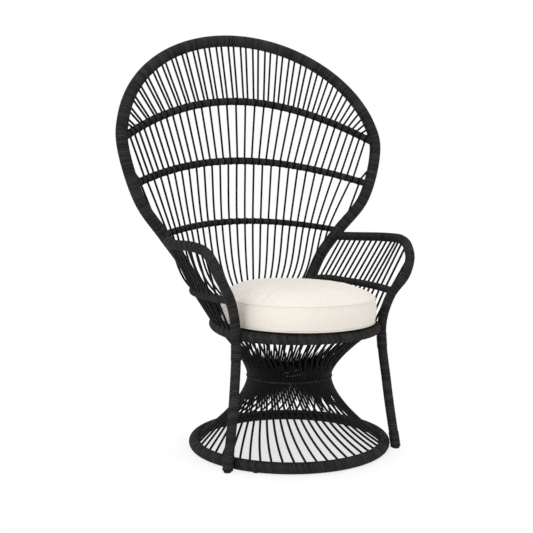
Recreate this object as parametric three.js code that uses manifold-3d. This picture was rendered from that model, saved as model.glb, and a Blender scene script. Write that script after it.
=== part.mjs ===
// A peacock chair: a wrapped-tube frame with an hourglass base, a fan back and a loose cushion.
// Millimetres, +Z up, the sitter faces -Y. Drawn round the axis of the base ring, centred at the end.
import * as THREE from "three";
import Module from "manifold-3d";
import { mergeVertices } from "three/addons/utils/BufferGeometryUtils.js";

const wasm = await Module();
wasm.setup();

// Clearance between two pieces that touch
const FIT = 0.3;

// Base: a floor ring on glides, and a cage of twisted rods drawn in by a waist ring
const BASE_RADIUS = 310;
const BASE_TUBE = 16.8;
const GLIDE_STAND = 0.5;
const GLIDE_HEIGHT = 5;
const GLIDE_RADIUS = 10;
const GLIDES = 4;
const CAGE_RODS = 54;
const CAGE_ROD = 3.7;
const WAIST_LAP = 0.3;
const CAGE_TURN = THREE.MathUtils.degToRad(3);
const UPPER_TWIST = THREE.MathUtils.degToRad(30);
const LOWER_TWIST = THREE.MathUtils.degToRad(25);
const UPPER_FLARE = 1.5;
const LOWER_FLARE = 1.65;
const WAIST_RADIUS = 133;
const WAIST_HEIGHT = 234;
const WAIST_TUBE = 4;

// Seat: an egg-shaped ring, round in front and longer behind, with a panel on two bearers inside it
const SEAT_HEIGHT = 400;
const SEAT_TUBE = 16.5;
const SEAT_HALF_WIDTH = 248;
const SEAT_CENTRE = -66;
const SEAT_FRONT = 233;
const SEAT_BACK = 373;
const PANEL_THICKNESS = 8;
const BEARER_TUBE = 9;
const FRONT_BEARER = -185;
const REAR_BEARER = 75;

// Back hoop: half an ellipse on top, two diagonal legs below
const HOOP_TUBE = 19;
const HOOP_HALF_WIDTH = 475.5;
const HOOP_WIDEST = 985;
const HOOP_TOP = 1356.5;
const HOOP_SIDE_DEPTH = 253;
const HOOP_TOP_DEPTH = 425;
const HOOP_FOOT_ANGLE = THREE.MathUtils.degToRad(61);
// Stations of one leg of the hoop: half width, depth, rise above the seat ring
const HOOP_LEG = [
  [208, 269, 97],
  [268, 279, 198],
  [336, 269, 286],
  [423, 243, 400],
];

// Back rails: the height of the ends on the hoop, and the height and depth of the middle
const UPPER_RAIL = { tube: 12, end: 998, middle: 1142, depth: 390 };
const MIDDLE_RAIL = { tube: 11.5, end: 849, middle: 933, depth: 389 };
const LOWER_RAIL = { tube: 9.8, end: 683, middle: 718, depth: 377 };

// Back rods, counted on one side of the middle
const BACK_ROD = 3.6;
const UPPER_RODS = 28;
const UPPER_LAYER = 4;
const MIDDLE_RODS = 18;
const SPINDLES = 14;
const SPINDLES_ON_SEAT = 13;
// How much closer the rods stand on the wings than in the middle
const UPPER_CROWDING = 0.1;
const MIDDLE_TOP_CROWDING = 0.27;
const MIDDLE_CROWDING = 0.09;
const SPINDLE_CROWDING = 0.2;
const SPINDLE_SPREAD = 1.02;
// The outer spindles stand on the hoop: shares of a pitch past the lower rail and short of the middle one
const OUTER_SPINDLE_LEAD = 0.26;
const OUTER_SPINDLE_TRAIL = 0.5;

// Arm and leg: one bent tube on each side, from the hoop to the floor
const ARM_TUBE = 14.2;
const ARM_END_HEIGHT = 663;
const ARM_STATIONS = [
  [351, 168, 666],
  [385, 71, 669],
  [391, -16, 670],
  [368, -92, 669],
  [349, -153, 655],
  [335, -190, 617],
  [313, -197, 564],
  [277, -173, 502],
  [255, -155, 404],
  [268, -168, 212],
];
const LEG_FOOT = new THREE.Vector3(296, -183, 0);
const FOOT_CAP_HEIGHT = 5;
const FOOT_CAP_RADIUS = 12;
const BINDING_THICKNESS = 2.6;
const BINDING_LENGTH = 46;
const FOOT_BINDING = 6;
// Clearance between the seat ring and the binding under it
const SEAT_BINDING_GAP = 7.5;

// Arm fans: rods from the arm down to the seat ring, tied by a rail on the way
const ARM_RODS = 16;
const ARM_ROD = 3.6;
const ARM_RAIL_TUBE = 10.8;
const ARM_RAIL_HEIGHT = 512;
const ARM_RAIL_STATIONS = [
  [253, 202, 519],
  [281, 135, 516],
  [303, 74, 513],
  [307, 8, 512],
  [301, -75, 512],
];
// Where the end rods meet the arm and its rail, as shares of their lengths, and the seat ring, as angles
const FAN_REAR = 0.036;
const FAN_FRONT = 0.427;
const RAIL_REAR = 0.088;
const RAIL_FRONT = 0.944;
const FAN_REAR_ANGLE = THREE.MathUtils.degToRad(57);
const FAN_FRONT_ANGLE = THREE.MathUtils.degToRad(-16);
// The rods stand evenly at the rear and spread apart in front
const FAN_SPREAD = 0.21;
const SPREAD_POWER = 5;

// Cushion: a boxed round cover with welted seams, a foam pad inside and a zip behind
const CUSHION_RADIUS = 231;
const CUSHION_CENTRE = -84;
const CUSHION_BULGE = 10;
const BOXING_HEIGHT = 74;
const CUSHION_CROWN = 52;
const COVER_THICKNESS = 2;
const WELT = 3.5;
const SOLE_ROUND = 14;
const ZIP_LENGTH = 300;
const ZIP_WIDTH = 10;

// Facets
const TUBE_SIDES = 8;
const RAIL_SIDES = 6;
const ROD_SIDES = 3;
const RING_STEPS = 40;
const HOOP_STEPS = 48;
const ARM_STEPS = 40;
const RAIL_STEPS = 28;
const ARM_RAIL_STEPS = 14;
const ROD_STEPS = 6;
const LAP_STEPS = 2;
const CUSHION_STEPS = 36;
const PLUG_SIDES = 12;

// Materials
const finish = (color, roughness) => new THREE.MeshStandardMaterial({ color, roughness, metalness: 0 });
const wrappedCord = finish(0x232120, 0.62);
const paintedRod = finish(0x181717, 0.45);
const plywood = finish(0x2a2421, 0.7);
const rubber = finish(0x141414, 0.8);
const linen = finish(0xf0eae0, 0.95);
const foam = finish(0xf3e6c4, 0.9);
const zipTape = finish(0xd9d2c6, 0.7);

// Solids for joins and cuts
const WELD = 1e-4;
function solidOf(geometry) {
  const bare = new THREE.BufferGeometry();
  bare.setAttribute("position", geometry.attributes.position);
  bare.setIndex(geometry.index);
  const merged = mergeVertices(bare, WELD);
  return new wasm.Manifold(
    new wasm.Mesh({
      numProp: 3,
      vertProperties: new Float32Array(merged.attributes.position.array),
      triVerts: new Uint32Array(merged.index.array),
    }),
  );
}

function geometryOf(solid) {
  const mesh = solid.getMesh();
  const geometry = new THREE.BufferGeometry();
  geometry.setAttribute("position", new THREE.BufferAttribute(new Float32Array(mesh.vertProperties), 3));
  geometry.setIndex(new THREE.BufferAttribute(new Uint32Array(mesh.triVerts), 1));
  geometry.computeVertexNormals();
  return geometry;
}

const joined = (solids) => solids.reduce((whole, next) => whole.add(next));
// A cut can leave crumbs past the tube that made it: the piece is the largest body, without cut seams
const SEAM = 0.05;
function largest(solid) {
  const body = solid.decompose().reduce((a, b) => (a.volume() > b.volume() ? a : b));
  return body.asOriginal().simplify(SEAM);
}
const cutBy = (solid, ...tubes) => largest(tubes.reduce((rest, tube) => rest.subtract(tube.cutter), solid));

const group = new THREE.Group();
function addPiece(name, geometry, material) {
  const mesh = new THREE.Mesh(geometry, material);
  mesh.name = name;
  group.add(mesh);
}

// Round bars
function roundSection(radius, sides) {
  const corners = [];
  for (let i = 0; i < sides; i++) {
    const angle = (2 * Math.PI * i) / sides;
    corners.push(new THREE.Vector2(radius * Math.cos(angle), radius * Math.sin(angle)));
  }
  return new THREE.Shape(corners);
}
function bar(curve, radius, sides, steps) {
  const options = { steps, bevelEnabled: false, extrudePath: curve };
  return solidOf(new THREE.ExtrudeGeometry(roundSection(radius, sides), options));
}
// The radius whose facets stand off those of a bar by the clearance
const clearOf = (radius, sides) => radius + FIT / Math.cos(Math.PI / sides);
// A tube has its solid, and a cutter that leaves the clearance round it
function tubeAlong(curve, radius, sides, steps) {
  const solid = bar(curve, radius, sides, steps);
  const cutter = bar(curve, clearOf(radius, sides), sides, steps);
  return { curve, solid, cutter };
}
const smooth = (points) => new THREE.CatmullRomCurve3(points, false, "centripetal");
const straight = (from, to) => new THREE.LineCurve3(from, to);
const rod = (from, to, radius) => bar(straight(from, to), radius, ROD_SIDES, 1);
const vector = ([x, y, z]) => new THREE.Vector3(x, y, z);
const mirrored = (p) => new THREE.Vector3(-p.x, p.y, p.z);

// The place on the first half of a rising curve where it reaches a height
const HALVINGS = 40;
function placeAtHeight(pointAt, height) {
  let low = 0;
  let high = 0.5;
  for (let i = 0; i < HALVINGS; i++) {
    const middle = (low + high) / 2;
    if (pointAt(middle).z < height) low = middle;
    else high = middle;
  }
  return low;
}

// Evenly counted rods, drawn a little towards the wings
const crowded = (share, amount) => share * (1 + amount * (1 - share));
const SIDES = { left: -1, right: 1 };

// Seat ring
function seatPoint(angle, outset = 0, rise = 0) {
  const reach = Math.sin(angle) < 0 ? SEAT_FRONT : SEAT_BACK;
  const x = SEAT_HALF_WIDTH * Math.cos(angle);
  const y = reach * Math.sin(angle);
  const normal = new THREE.Vector2(x / SEAT_HALF_WIDTH ** 2, y / reach ** 2).normalize();
  return new THREE.Vector3(x + outset * normal.x, SEAT_CENTRE + y + outset * normal.y, SEAT_HEIGHT + rise);
}
// A torus whose round centre line is drawn out to the egg shape of the seat
function seatTorus(radius) {
  const ring = new THREE.TorusGeometry(SEAT_HALF_WIDTH, radius, TUBE_SIDES, RING_STEPS);
  const at = ring.attributes.position;
  for (let i = 0; i < at.count; i++) {
    const outset = Math.hypot(at.getX(i), at.getY(i)) - SEAT_HALF_WIDTH;
    const p = seatPoint(Math.atan2(at.getY(i), at.getX(i)), outset, at.getZ(i));
    at.setXYZ(i, p.x, p.y, p.z);
  }
  return ring;
}
const seatRing = { cutter: solidOf(seatTorus(clearOf(SEAT_TUBE, TUBE_SIDES))) };
addPiece("seat_ring", seatTorus(SEAT_TUBE), wrappedCord);

// Seat panel on its bearers
const panelTop = SEAT_HEIGHT + SEAT_TUBE;
const bearerHeight = panelTop - PANEL_THICKNESS - FIT - BEARER_TUBE;
const panelEdge = [];
for (let i = 0; i < RING_STEPS; i++) {
  const p = seatPoint((2 * Math.PI * i) / RING_STEPS, -SEAT_TUBE - FIT);
  panelEdge.push(new THREE.Vector2(p.x, p.y));
}
const sheet = { depth: PANEL_THICKNESS, bevelEnabled: false };
const panel = new THREE.ExtrudeGeometry(new THREE.Shape(panelEdge), sheet);
addPiece("seat_panel", panel.translate(0, 0, panelTop - PANEL_THICKNESS), plywood);
const bearers = [];
for (const [place, y] of Object.entries({ front: FRONT_BEARER, rear: REAR_BEARER })) {
  const end = new THREE.Vector3(SEAT_HALF_WIDTH, y, bearerHeight);
  const bearer = tubeAlong(straight(mirrored(end), end), BEARER_TUBE, TUBE_SIDES, 1);
  bearers.push(bearer);
  addPiece("seat_bearer_" + place, geometryOf(cutBy(bearer.solid, seatRing)), plywood);
}

// Base ring on its glides
const baseHeight = GLIDE_STAND + BASE_TUBE;
const basePoint = (angle) =>
  new THREE.Vector3(BASE_RADIUS * Math.cos(angle), BASE_RADIUS * Math.sin(angle), baseHeight);
const baseTorus = (radius) =>
  new THREE.TorusGeometry(BASE_RADIUS, radius, TUBE_SIDES, RING_STEPS).translate(0, 0, baseHeight);
const baseRing = { cutter: solidOf(baseTorus(clearOf(BASE_TUBE, TUBE_SIDES))) };
addPiece("base_ring", baseTorus(BASE_TUBE), wrappedCord);
const plug = (radius, height, at) =>
  new THREE.CylinderGeometry(radius, radius, height, PLUG_SIDES)
    .rotateX(Math.PI / 2)
    .translate(at.x, at.y, height / 2);
for (let i = 0; i < GLIDES; i++) {
  const at = basePoint((2 * Math.PI * (i + 0.5)) / GLIDES);
  const glide = cutBy(solidOf(plug(GLIDE_RADIUS, GLIDE_HEIGHT, at)), baseRing);
  addPiece("glide_" + (i + 1), geometryOf(glide), rubber);
}

// Cage: each rod runs from the seat ring in to the waist and out to the base ring, turning as it goes down
class CageRod extends THREE.Curve {
  constructor(waistAngle, reach = 1) {
    super();
    this.waistAngle = waistAngle;
    this.reach = reach;
  }
  getPoint(t, target = new THREE.Vector3()) {
    const rise = this.reach * (1 - 2 * t);
    // Above the waist the turn fades out towards the seat
    const turn = rise > 0 ? UPPER_TWIST * rise * (2 - rise) : LOWER_TWIST * rise;
    const angle = this.waistAngle - turn;
    const share = Math.abs(rise) ** (rise > 0 ? UPPER_FLARE : LOWER_FLARE);
    const end = rise > 0 ? seatPoint(angle) : basePoint(angle);
    target.set(WAIST_RADIUS * Math.cos(angle), WAIST_RADIUS * Math.sin(angle), 0).lerp(end, share);
    target.z = THREE.MathUtils.lerp(WAIST_HEIGHT, end.z, Math.abs(rise));
    return target;
  }
  // Steps are even in height, so that one falls on the waist
  getPointAt(u, target) {
    return this.getPoint(u, target);
  }
  getTangentAt(u, target) {
    return this.getTangent(u, target);
  }
}
const waistRing = new THREE.TorusGeometry(WAIST_RADIUS + CAGE_ROD, WAIST_TUBE, RAIL_SIDES, CAGE_RODS);
const cage = [solidOf(waistRing.translate(0, 0, WAIST_HEIGHT))];
for (let i = 0; i < CAGE_RODS; i++) {
  const angle = CAGE_TURN + (2 * Math.PI * i) / CAGE_RODS;
  cage.push(bar(new CageRod(angle), CAGE_ROD, ROD_SIDES, ROD_STEPS));
  // A short rod stands in each gap at the waist
  cage.push(bar(new CageRod(angle + Math.PI / CAGE_RODS, WAIST_LAP), CAGE_ROD, ROD_SIDES, LAP_STEPS));
}
addPiece("base_cage", geometryOf(cutBy(joined(cage), seatRing, baseRing, ...bearers)), paintedRod);

// Back hoop
const hoopHalf = [seatPoint(HOOP_FOOT_ANGLE)];
for (const [x, y, rise] of HOOP_LEG) hoopHalf.push(new THREE.Vector3(x, y, SEAT_HEIGHT + rise));
const HOOP_ARC = 7;
const DEPTH_POWER = 1.3;
for (let i = 0; i <= HOOP_ARC; i++) {
  const angle = (Math.PI / 2) * (i / HOOP_ARC);
  const depth = THREE.MathUtils.lerp(HOOP_SIDE_DEPTH, HOOP_TOP_DEPTH, Math.sin(angle) ** DEPTH_POWER);
  const height = THREE.MathUtils.lerp(HOOP_WIDEST, HOOP_TOP, Math.sin(angle));
  hoopHalf.push(new THREE.Vector3(HOOP_HALF_WIDTH * Math.cos(angle), depth, height));
}
const hoopLine = smooth([...hoopHalf.map(mirrored), ...hoopHalf.slice(0, -1).reverse()]);
const hoopPoint = (place, side) => hoopLine.getPointAt(side < 0 ? place : 1 - place);
const hoopPlace = (height) => placeAtHeight((place) => hoopPoint(place, -1), height);
const hoop = tubeAlong(hoopLine, HOOP_TUBE, TUBE_SIDES, HOOP_STEPS);
addPiece("back_hoop", geometryOf(cutBy(hoop.solid, seatRing)), wrappedCord);

// A back rail bows back and up between its two ends on the hoop
const RAIL_COVER = 1.4 * HOOP_TUBE;
class RailCurve extends THREE.Curve {
  constructor({ end, middle, depth }) {
    super();
    this.end = hoopPoint(hoopPlace(end), 1);
    this.middle = new THREE.Vector3(0, depth, middle);
  }
  getPoint(t, target = new THREE.Vector3()) {
    const side = 2 * t - 1;
    target.lerpVectors(this.middle, this.end, side ** 2);
    target.x = this.end.x * side;
    return target;
  }
  // The place a share of the way from the middle to where the rail leaves the hoop
  placeAt(share, side) {
    return 0.5 + side * share * (0.5 - RAIL_COVER / this.getLength());
  }
  atShare(share, side) {
    return this.getPointAt(this.placeAt(share, side));
  }
}
const backRail = (size) => tubeAlong(new RailCurve(size), size.tube, RAIL_SIDES, RAIL_STEPS);
const upperRail = backRail(UPPER_RAIL);
const middleRail = backRail(MIDDLE_RAIL);
const lowerRail = backRail(LOWER_RAIL);
addPiece("back_rail_lower", geometryOf(cutBy(lowerRail.solid, hoop)), wrappedCord);

// Upper fan: rods from the upper rail to the hoop, by turns before and behind its centre line
const upperFan = [upperRail.solid];
const upperPlace = hoopPlace(UPPER_RAIL.end);
for (const side of Object.values(SIDES)) {
  for (let i = 0; i < UPPER_RODS; i++) {
    const share = (i + 0.5) / UPPER_RODS;
    const place = upperRail.curve.placeAt(crowded(share, UPPER_CROWDING), side);
    const foot = upperRail.curve.getPointAt(place);
    const head = hoopPoint(THREE.MathUtils.lerp(0.5, upperPlace, share), side);
    const along = upperRail.curve.getTangentAt(place);
    const layer = new THREE.Vector3(-along.y, along.x, 0).setLength(UPPER_LAYER);
    if ((i + (side > 0)) % 2) layer.negate();
    upperFan.push(rod(foot.add(layer), head.add(layer), BACK_ROD));
  }
}
addPiece("back_fan_upper", geometryOf(cutBy(joined(upperFan), hoop)), paintedRod);

// Middle fan: rods from the middle rail to the upper rail, the outermost pair to the hoop
const middleFan = [middleRail.solid];
const outerPlace = hoopPlace((MIDDLE_RAIL.end + UPPER_RAIL.end) / 2);
for (const side of Object.values(SIDES)) {
  for (let i = 0; i < MIDDLE_RODS; i++) {
    const foot = middleRail.curve.atShare(crowded((i + 0.5) / MIDDLE_RODS, MIDDLE_CROWDING), side);
    const share = crowded((i + 0.5) / (MIDDLE_RODS - 1), MIDDLE_TOP_CROWDING);
    const head = share < 1 ? upperRail.curve.atShare(share, side) : hoopPoint(outerPlace, side);
    middleFan.push(rod(foot, head, BACK_ROD));
  }
}
addPiece("back_fan_middle", geometryOf(cutBy(joined(middleFan), upperRail, hoop)), paintedRod);

// Spindles: from the seat ring behind the lower rail to the middle rail; the outer ones start on the hoop
const behindRail = LOWER_RAIL.tube + BACK_ROD + FIT;
const lowerPlace = hoopPlace(LOWER_RAIL.end);
const middlePlace = hoopPlace(MIDDLE_RAIL.end);
const BOW_PLACE = 0.7;
const BOW_HEIGHT = 0.42;
function spindle(i, side) {
  const head = middleRail.curve.atShare((SPINDLE_SPREAD * (i + 0.5)) / SPINDLES, side);
  if (i >= SPINDLES_ON_SEAT) {
    const outer = SPINDLES - SPINDLES_ON_SEAT;
    const share = (i - SPINDLES_ON_SEAT + OUTER_SPINDLE_LEAD) / (outer + OUTER_SPINDLE_TRAIL);
    const foot = hoopPoint(THREE.MathUtils.lerp(lowerPlace, middlePlace, share), side);
    return rod(foot, head, BACK_ROD);
  }
  const turn = (Math.PI / 2 - HOOP_FOOT_ANGLE) * ((i + 0.5) / (SPINDLES_ON_SEAT + 1));
  const foot = seatPoint(Math.PI / 2 - side * turn);
  const place = lowerRail.curve.placeAt(crowded((i + 0.5) / SPINDLES_ON_SEAT, SPINDLE_CROWDING), side);
  const along = lowerRail.curve.getTangentAt(place);
  const behind = new THREE.Vector3(-along.y, along.x, 0).setLength(behindRail);
  const pass = lowerRail.curve.getPointAt(place).add(behind);
  const bow = foot.clone().lerp(pass, BOW_PLACE);
  bow.z = THREE.MathUtils.lerp(foot.z, pass.z, BOW_HEIGHT);
  return bar(smooth([foot, bow, pass, head]), BACK_ROD, ROD_SIDES, ROD_STEPS);
}
let number = 0;
for (const side of Object.values(SIDES)) {
  for (let i = 0; i < SPINDLES; i++) {
    number += 1;
    const piece = cutBy(spindle(i, side), seatRing, hoop, lowerRail, middleRail);
    addPiece("back_spindle_" + String(number).padStart(2, "0"), geometryOf(piece), paintedRod);
  }
}

// Arm and leg, drawn on the right and mirrored for the left
const armStart = hoopPoint(hoopPlace(ARM_END_HEIGHT), 1);
const armLine = smooth([armStart, ...ARM_STATIONS.map(vector), LEG_FOOT]);
const legPlace = (height) => placeAtHeight((place) => armLine.getPointAt(1 - place), height);
const legPoint = (height) => armLine.getPointAt(1 - legPlace(height));

// The fan of the right arm: each rod stands on the seat ring, crosses the arm rail and ends on the arm
const spread = (low, high, share) =>
  THREE.MathUtils.lerp(low, high, share * (1 - FAN_SPREAD) + FAN_SPREAD * share ** SPREAD_POWER);
const fanTop = (share) => armLine.getPointAt(spread(FAN_REAR, FAN_FRONT, share));
const fanFoot = (share) => seatPoint(spread(FAN_REAR_ANGLE, FAN_FRONT_ANGLE, share));
const armRailStart = hoopPoint(hoopPlace(ARM_RAIL_HEIGHT), 1);
const armRailLine = smooth([armRailStart, ...ARM_RAIL_STATIONS.map(vector), legPoint(ARM_RAIL_HEIGHT)]);

const arm = tubeAlong(armLine, ARM_TUBE, TUBE_SIDES, ARM_STEPS);
const armSolid = cutBy(arm.solid, hoop, seatRing).trimByPlane([0, 0, 1], FOOT_CAP_HEIGHT + FIT);
const armFan = [bar(armRailLine, ARM_RAIL_TUBE, RAIL_SIDES, ARM_RAIL_STEPS)];
for (let i = 0; i < ARM_RODS; i++) {
  const share = i / (ARM_RODS - 1);
  const crossing = armRailLine.getPointAt(spread(RAIL_REAR, RAIL_FRONT, share));
  armFan.push(rod(fanFoot(share), crossing, ARM_ROD), rod(crossing, fanTop(share), ARM_ROD));
}
const armFanSolid = cutBy(joined(armFan), hoop, seatRing, arm);
const footCap = solidOf(plug(FOOT_CAP_RADIUS, FOOT_CAP_HEIGHT, LEG_FOOT));

// A binding is a sleeve round the leg
function binding(height) {
  const [low, high] = [legPoint(height), legPoint(height + BINDING_LENGTH)];
  const bore = (ARM_TUBE + FIT) / Math.cos(Math.PI / PLUG_SIDES);
  const through = straight(low.clone().lerp(high, -1), high.clone().lerp(low, -1));
  const sleeve = bar(straight(low, high), bore + BINDING_THICKNESS, PLUG_SIDES, 1);
  return largest(sleeve.subtract(bar(through, bore, PLUG_SIDES, 1)));
}
const sidePieces = {
  arm: [armSolid, wrappedCord],
  arm_fan: [armFanSolid, paintedRod],
  foot_cap: [footCap, rubber],
  foot_binding: [binding(FOOT_BINDING), wrappedCord],
  leg_binding: [binding(SEAT_HEIGHT - SEAT_TUBE - SEAT_BINDING_GAP - BINDING_LENGTH), wrappedCord],
};
for (const [name, [solid, material]] of Object.entries(sidePieces)) {
  for (const [place, side] of Object.entries(SIDES)) {
    const piece = side > 0 ? solid : solid.mirror([1, 0, 0]);
    addPiece(name + "_" + place, geometryOf(piece), material);
  }
}

// Cushion, turned about its own axis: boxing between two welted seams, a crown above
const SIDE_SHARES = [0.25, 0.5, 0.75];
const CROWN_SHARES = [0.88, 0.68, 0.4];
const CROWN_POWER = 1.25;
const lowSeam = 2 * WELT;
const topSeam = lowSeam + BOXING_HEIGHT;
function weltPoints(edge, height) {
  const across = WELT / 2;
  return [-across, across].map((rise) => new THREE.Vector2(edge + WELT, height + rise));
}
function cushionProfile(inset, welted) {
  const edge = CUSHION_RADIUS - inset;
  const low = lowSeam + inset;
  const high = topSeam - inset;
  const at = (r, z) => new THREE.Vector2(r, z);
  const points = [at(0, inset), at(edge - SOLE_ROUND, inset), at(edge, low - WELT)];
  if (welted) points.push(...weltPoints(edge, low));
  points.push(at(edge, low + WELT));
  for (const share of SIDE_SHARES) {
    points.push(at(edge + CUSHION_BULGE * Math.sin(Math.PI * share), THREE.MathUtils.lerp(low, high, share)));
  }
  points.push(at(edge, high - WELT));
  if (welted) points.push(...weltPoints(edge, high));
  points.push(at(edge - WELT, high + WELT));
  for (const share of CROWN_SHARES) {
    points.push(at(edge * share, high + CUSHION_CROWN * Math.sqrt(1 - share ** 2) ** CROWN_POWER));
  }
  points.push(at(0, high + CUSHION_CROWN));
  return points;
}
const turned = (points) => solidOf(new THREE.LatheGeometry(points, CUSHION_STEPS).rotateX(Math.PI / 2));
const zipReach = CUSHION_RADIUS + CUSHION_BULGE;
const zipBlock = (clearance) =>
  solidOf(
    new THREE.BoxGeometry(ZIP_LENGTH - 2 * clearance, zipReach, ZIP_WIDTH - 2 * clearance).translate(
      0,
      zipReach,
      (lowSeam + topSeam) / 2,
    ),
  );
const cushionBody = turned(cushionProfile(0, true));
const cover = cushionBody.subtract(turned(cushionProfile(COVER_THICKNESS, false))).subtract(zipBlock(0));
const pad = turned(cushionProfile(COVER_THICKNESS + FIT, false));
const zip = cushionBody.subtract(turned(cushionProfile(COVER_THICKNESS, false))).intersect(zipBlock(FIT));
const onSeat = (solid) => geometryOf(solid).translate(0, CUSHION_CENTRE, panelTop + FIT);
addPiece("cushion_cover", onSeat(cover), linen);
addPiece("cushion_foam", onSeat(pad), foam);
addPiece("cushion_zip", onSeat(zip), zipTape);

// The part's frame stands under the middle of the whole chair
const extent = new THREE.Box3().setFromObject(group);
const centre = extent.getCenter(new THREE.Vector3());
group.position.set(-centre.x, -centre.y, -extent.min.z);

export default group;
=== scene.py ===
"""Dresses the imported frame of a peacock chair: wound tubes, thin rods, lashings and a loose cushion.

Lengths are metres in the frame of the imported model: +Z is up and the sitter faces -Y.
"""

import math

import bmesh
import bpy
import numpy as np
from bpy.props import FloatProperty, FloatVectorProperty, IntProperty, PointerProperty
from bpy.types import Operator, Panel, PropertyGroup
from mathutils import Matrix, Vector


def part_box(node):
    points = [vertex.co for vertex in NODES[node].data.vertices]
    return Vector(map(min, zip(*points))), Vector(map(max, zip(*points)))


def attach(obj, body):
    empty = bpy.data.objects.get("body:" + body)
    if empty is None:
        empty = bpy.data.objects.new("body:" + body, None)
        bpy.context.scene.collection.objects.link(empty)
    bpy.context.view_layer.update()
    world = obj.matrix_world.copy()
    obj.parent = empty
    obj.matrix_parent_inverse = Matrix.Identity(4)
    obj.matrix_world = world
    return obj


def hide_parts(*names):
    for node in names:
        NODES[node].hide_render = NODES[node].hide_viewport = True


bl_info = {
    "name": "Peacock chair",
    "version": (1, 0, 0),
    "blender": (4, 5, 0),
    "location": "View3D > Sidebar > Chair",
    "description": "Builds a peacock chair with wound tubes, fanned rods and a loose cushion",
    "category": "Object",
}

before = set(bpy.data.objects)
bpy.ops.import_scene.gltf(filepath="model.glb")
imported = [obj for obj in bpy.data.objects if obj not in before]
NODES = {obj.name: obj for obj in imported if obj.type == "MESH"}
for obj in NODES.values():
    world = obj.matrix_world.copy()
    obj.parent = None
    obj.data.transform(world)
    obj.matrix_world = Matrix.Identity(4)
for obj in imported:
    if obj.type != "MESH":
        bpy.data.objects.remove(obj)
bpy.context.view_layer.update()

# The frame's lines are drawn round the axis of the floor ring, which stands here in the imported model
_ring_low, _ring_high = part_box("base_ring")
AXIS = np.array([(_ring_low.x + _ring_high.x) / 2, (_ring_low.y + _ring_high.y) / 2, 0.0])

# Base
BASE_RADIUS = 0.310
BASE_TUBE = 0.0168
BASE_HEIGHT = 0.0173
CAGE_RODS = 54
CAGE_ROD = 0.0036
WAIST_ROD = 0.0040
WAIST_LAP = 0.33
LAP_VARIES = 0.25
LAP_SWING = 2.4
LAP_TAPER = 0.7
CAGE_TURN = math.radians(3)
UPPER_TWIST = math.radians(16)
LOWER_TWIST = math.radians(25)
UPPER_FLARE = 1.5
LOWER_FLARE = 1.65
WAIST_RADIUS = 0.133
WAIST_HEIGHT = 0.234
WAIST_TUBE = 0.004

# Seat
SEAT_HEIGHT = 0.400
SEAT_TUBE = 0.0165
SEAT_HALF_WIDTH = 0.248
SEAT_CENTRE = -0.066
SEAT_FRONT = 0.233
SEAT_BACK = 0.373

# Back hoop: half width, depth and rise above the seat ring of the stations on one leg
HOOP_TUBE = 0.019
HOOP_HALF_WIDTH = 0.4755
HOOP_WIDEST = 0.985
HOOP_TOP = 1.3565
HOOP_SIDE_DEPTH = 0.253
HOOP_TOP_DEPTH = 0.425
HOOP_FOOT_ANGLE = math.radians(61)
HOOP_LEG = ((0.208, 0.269, 0.097), (0.268, 0.279, 0.198), (0.336, 0.269, 0.286), (0.423, 0.243, 0.400))
HOOP_ARC = 7
DEPTH_POWER = 1.3

# Back rails: tube, height of the ends on the hoop, height and depth of the middle
UPPER_RAIL = (0.012, 0.998, 1.142, 0.390)
MIDDLE_RAIL = (0.0115, 0.849, 0.933, 0.389)
LOWER_RAIL = (0.0098, 0.683, 0.718, 0.377)
RAIL_COVER = 1.4 * HOOP_TUBE

# Back rods, counted on one side of the middle
BACK_ROD = 0.0036
UPPER_RODS = 28
UPPER_LAYER = 0.004
MIDDLE_RODS = 18
SPINDLES = 14
SPINDLES_ON_SEAT = 13
UPPER_CROWDING = 0.1
MIDDLE_TOP_CROWDING = 0.27
MIDDLE_CROWDING = 0.09
SPINDLE_CROWDING = 0.2
SPINDLE_SPREAD = 1.02
OUTER_SPINDLE_LEAD = 0.26
OUTER_SPINDLE_TRAIL = 0.5
SPINDLE_OFFSET = LOWER_RAIL[0] + BACK_ROD + 0.0003
BOW_PLACE = 0.7
BOW_HEIGHT = 0.42

# Arm and leg of the right side, from the hoop to the floor
ARM_TUBE = 0.0142
ARM_END_HEIGHT = 0.663
ARM_STATIONS = (
    (0.351, 0.168, 0.666),
    (0.385, 0.071, 0.669),
    (0.391, -0.016, 0.670),
    (0.368, -0.092, 0.669),
    (0.349, -0.153, 0.655),
    (0.335, -0.190, 0.617),
    (0.313, -0.197, 0.564),
    (0.277, -0.173, 0.502),
    (0.255, -0.155, 0.404),
    (0.268, -0.168, 0.212),
    (0.296, -0.183, 0.0),
)
LEG_END = 0.0053
BINDING_LENGTH = 0.046
BINDING_THICKNESS = 0.0014
FOOT_BINDING = 0.006
SEAT_BINDING = 0.330
ARM_RODS = 16
ARM_ROD = 0.0036
ARM_RAIL_TUBE = 0.0108
ARM_RAIL_HEIGHT = 0.512
ARM_RAIL_STATIONS = (
    (0.253, 0.202, 0.519),
    (0.281, 0.135, 0.516),
    (0.303, 0.074, 0.513),
    (0.307, 0.008, 0.512),
    (0.301, -0.075, 0.512),
)
FAN_REAR = 0.036
FAN_FRONT = 0.427
RAIL_REAR = 0.088
RAIL_FRONT = 0.944
FAN_REAR_ANGLE = math.radians(57)
FAN_FRONT_ANGLE = math.radians(-16)
FAN_SPREAD = 0.21
SPREAD_POWER = 5

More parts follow.
